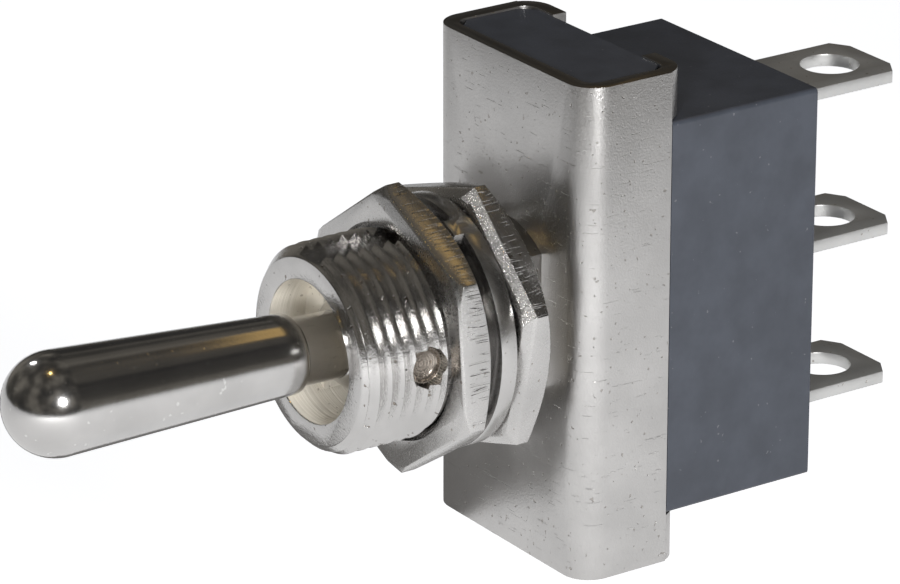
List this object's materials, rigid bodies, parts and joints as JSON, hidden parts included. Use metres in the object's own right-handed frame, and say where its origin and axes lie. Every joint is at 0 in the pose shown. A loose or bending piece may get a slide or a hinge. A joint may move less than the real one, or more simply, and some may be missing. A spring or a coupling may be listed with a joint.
{
  "type": "panel toggle switch",
  "caption": "Panel toggle switch: threaded bushing with nuts and a keyed ring, bat lever, folded steel cover, moulded housing and a row of blade terminals with wire holes.",
  "frame": {"origin": "where the lever's cross pin crosses the bushing's axis, inside the part of the thread that a panel slides over", "axes": "-Y points out of the panel along the bushing, towards the lever; +Z runs along the row of terminals; +X runs along the cross pin"},
  "size_m": [0.016, 0.0572, 0.029],
  "materials": {
    "plated_steel": "satin nickel plating on sheet steel",
    "nickel_bushing": "nickel plated, turned and threaded brass",
    "nickel_steel": "nickel plated steel",
    "polished_nickel": "polished nickel plating on brass",
    "pin_steel": "drawn steel",
    "nylon": "plain nylon",
    "fibre_sheet": "vulcanised fibre",
    "black_moulding": "satin moulded thermoset",
    "bare_brass": "plain brass",
    "contact_silver": "plain silver alloy",
    "tinned_brass": "tin plated brass"
  },
  "bodies": {
    "base": {"cover": "plated_steel", "bushing": "nickel_bushing", "front_nut": "nickel_steel", "locking_ring": "nickel_steel", "rear_nut": "nickel_steel", "pivot_pin": "pin_steel", "insulator": "fibre_sheet", "housing": "black_moulding", "rocker_saddle": "bare_brass", "saddle_rivet": "bare_brass", "centre_terminal": "tinned_brass", "upper_terminal": "tinned_brass", "lower_terminal": "tinned_brass", "upper_fixed_contact": "contact_silver", "lower_fixed_contact": "contact_silver"},
    "lever": {"lever": "polished_nickel", "plunger_spring": "pin_steel"},
    "plunger": {"plunger": "nylon"},
    "rocker": {"contact_rocker": "bare_brass", "upper_moving_contact": "contact_silver", "lower_moving_contact": "contact_silver"}
  },
  "joints": [
    {"name": "lever_swing", "type": "hinge", "parent": "base", "child": "lever", "pos_m": [0, 0, 0], "axis": [1, 0, 0], "range_deg": [-11, 15]},
    {"name": "rocker_swing", "type": "hinge", "parent": "base", "child": "rocker", "pos_m": [0, 0.01525, 0], "axis": [1, 0, 0], "range_deg": [-7.5, 5.5]},
    {"name": "plunger_slide", "type": "slide", "parent": "lever", "child": "plunger", "axis": [0, -0.9994, 0.0349], "range_m": [0, 0.0008], "stiffness_N_per_m": 400, "deforming": ["plunger_spring"]}
  ],
  "couplings": [
    {"joint": "rocker_swing", "follows": "lever_swing", "ratio": -0.5}
  ]
}
